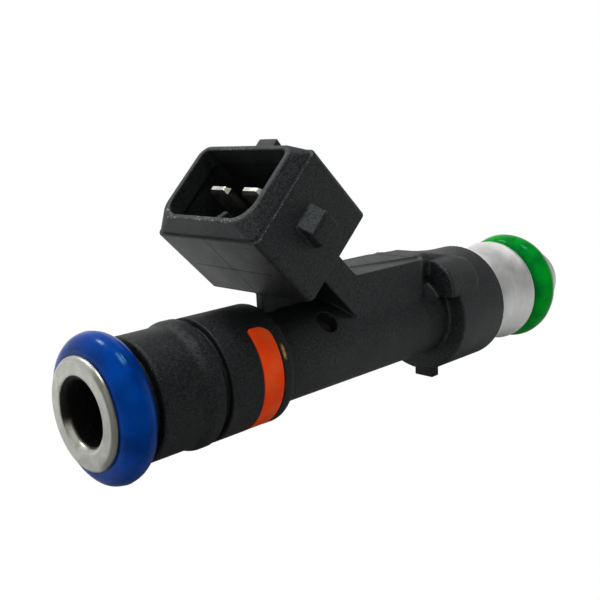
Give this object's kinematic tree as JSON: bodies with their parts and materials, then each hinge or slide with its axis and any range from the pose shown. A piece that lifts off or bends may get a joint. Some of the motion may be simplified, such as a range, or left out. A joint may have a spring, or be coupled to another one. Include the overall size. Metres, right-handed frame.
{
  "type": "fuel injector",
  "caption": "Solenoid port fuel injector with O-ring seals at both ends and an angled socket with contact blades, whose needle lifts off its seat.",
  "frame": {"origin": "centre of the fuel inlet's face, on the injector's axis", "axes": "X is the injector's axis, and the nozzle points to +X; +Z is the side that the connector socket stands on; Y is across the socket"},
  "size_m": [0.0766, 0.019, 0.032],
  "materials": {
    "black_nylon": "fine moulded texture",
    "inlet_steel": "drawn and turned",
    "blue_rubber": "glossy",
    "orange_plastic": "satin",
    "filter_brass": "drawn",
    "filter_plastic": "satin",
    "filter_mesh": "woven",
    "core_steel": "turned",
    "spring_steel": "drawn wire",
    "ball_steel": "polished",
    "body_steel": "satin",
    "bobbin_nylon": "moulded",
    "copper_wire": "enamelled wire",
    "tinned_brass": "tinned",
    "green_rubber": "glossy",
    "retainer_nylon": "moulded"
  },
  "bodies": {
    "body": {"housing": "black_nylon", "inlet_tube": "inlet_steel", "upper_o_ring": "blue_rubber", "colour_ring": "orange_plastic", "filter_collar": "filter_brass", "filter_cage": "filter_plastic", "filter_screen": "filter_mesh", "pole_core": "core_steel", "adjusting_sleeve": "spring_steel", "closing_spring": "spring_steel", "guide_disc": "core_steel", "valve_seat": "core_steel", "spray_disc": "body_steel", "valve_body": "body_steel", "gap_sleeve": "body_steel", "coil_bobbin": "bobbin_nylon", "coil_winding": "copper_wire", "yoke_washer": "core_steel", "coil_cup": "body_steel", "terminal_left": "tinned_brass", "terminal_right": "tinned_brass", "lower_o_ring": "green_rubber", "ring_retainer": "retainer_nylon"},
    "needle": {"armature": "core_steel", "needle_tube": "ball_steel", "valve_ball": "ball_steel"}
  },
  "joints": [
    {"name": "needle_lift", "type": "slide", "parent": "body", "child": "needle", "axis": [-1, 0, 0], "range_m": [0, 0.00007], "stiffness_N_per_m": 3000, "springref_m": -0.001, "deforming": ["closing_spring"]}
  ]
}
